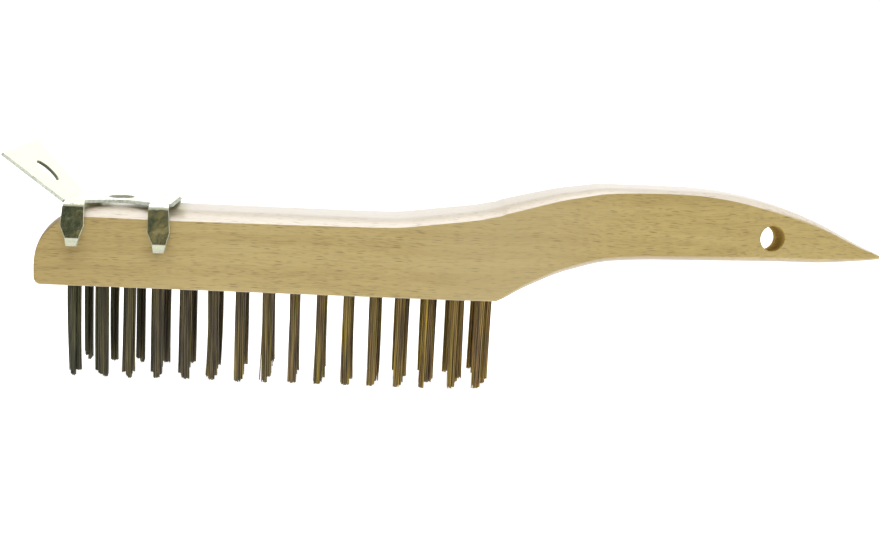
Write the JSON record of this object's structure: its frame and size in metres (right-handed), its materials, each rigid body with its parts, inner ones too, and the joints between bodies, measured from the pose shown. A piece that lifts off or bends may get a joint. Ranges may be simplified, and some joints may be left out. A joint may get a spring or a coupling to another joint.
{
  "type": "wire scratch brush",
  "caption": "Hand scratch brush with a curved hardwood shoe handle, rows of steel wire tufts set in the block, and a clip-on steel scraper on the toe.",
  "frame": {"origin": "middle of the whole length and width, at the level of the wire tips", "axes": "+X along the brush to the tip of the handle, +Y across it, +Z from the wire tips up through the block"},
  "size_m": [0.2684, 0.0412, 0.0685],
  "materials": {
    "wood": "sanded hardwood with fine short pore flecks, thin satin coat",
    "wire": "oil-tempered carbon steel wire, dark with a bronze tint",
    "plated_steel": "bright plated spring steel, stamped and bent"
  },
  "bodies": {
    "brush": {"wood_block": "wood", "tuft_front_01": "wire", "tuft_pair_01": "wire", "tuft_rear_01": "wire", "tuft_front_02": "wire", "tuft_pair_02": "wire", "tuft_rear_02": "wire", "tuft_front_03": "wire", "tuft_pair_03": "wire", "tuft_rear_03": "wire", "tuft_front_04": "wire", "tuft_pair_04": "wire", "tuft_rear_04": "wire", "tuft_front_05": "wire", "tuft_pair_05": "wire", "tuft_rear_05": "wire", "tuft_front_06": "wire", "tuft_pair_06": "wire", "tuft_rear_06": "wire", "tuft_front_07": "wire", "tuft_pair_07": "wire", "tuft_rear_07": "wire", "tuft_front_08": "wire", "tuft_pair_08": "wire", "tuft_rear_08": "wire", "tuft_front_09": "wire", "tuft_pair_09": "wire", "tuft_rear_09": "wire", "tuft_front_10": "wire", "tuft_pair_10": "wire", "tuft_rear_10": "wire", "tuft_front_11": "wire", "tuft_pair_11": "wire", "tuft_rear_11": "wire", "tuft_front_12": "wire", "tuft_pair_12": "wire", "tuft_rear_12": "wire", "tuft_front_13": "wire", "tuft_pair_13": "wire", "tuft_rear_13": "wire", "tuft_front_14": "wire", "tuft_pair_14": "wire", "tuft_rear_14": "wire", "tuft_front_15": "wire", "tuft_pair_15": "wire", "tuft_rear_15": "wire", "tuft_front_16": "wire", "tuft_pair_16": "wire", "tuft_rear_16": "wire"},
    "scraper": {"scraper_clip": "plated_steel"}
  },
  "joints": [
    {"name": "scraper_snap_off", "type": "slide", "parent": "brush", "child": "scraper", "axis": [0, 0, 1], "range_m": [0, 0.014]}
  ]
}
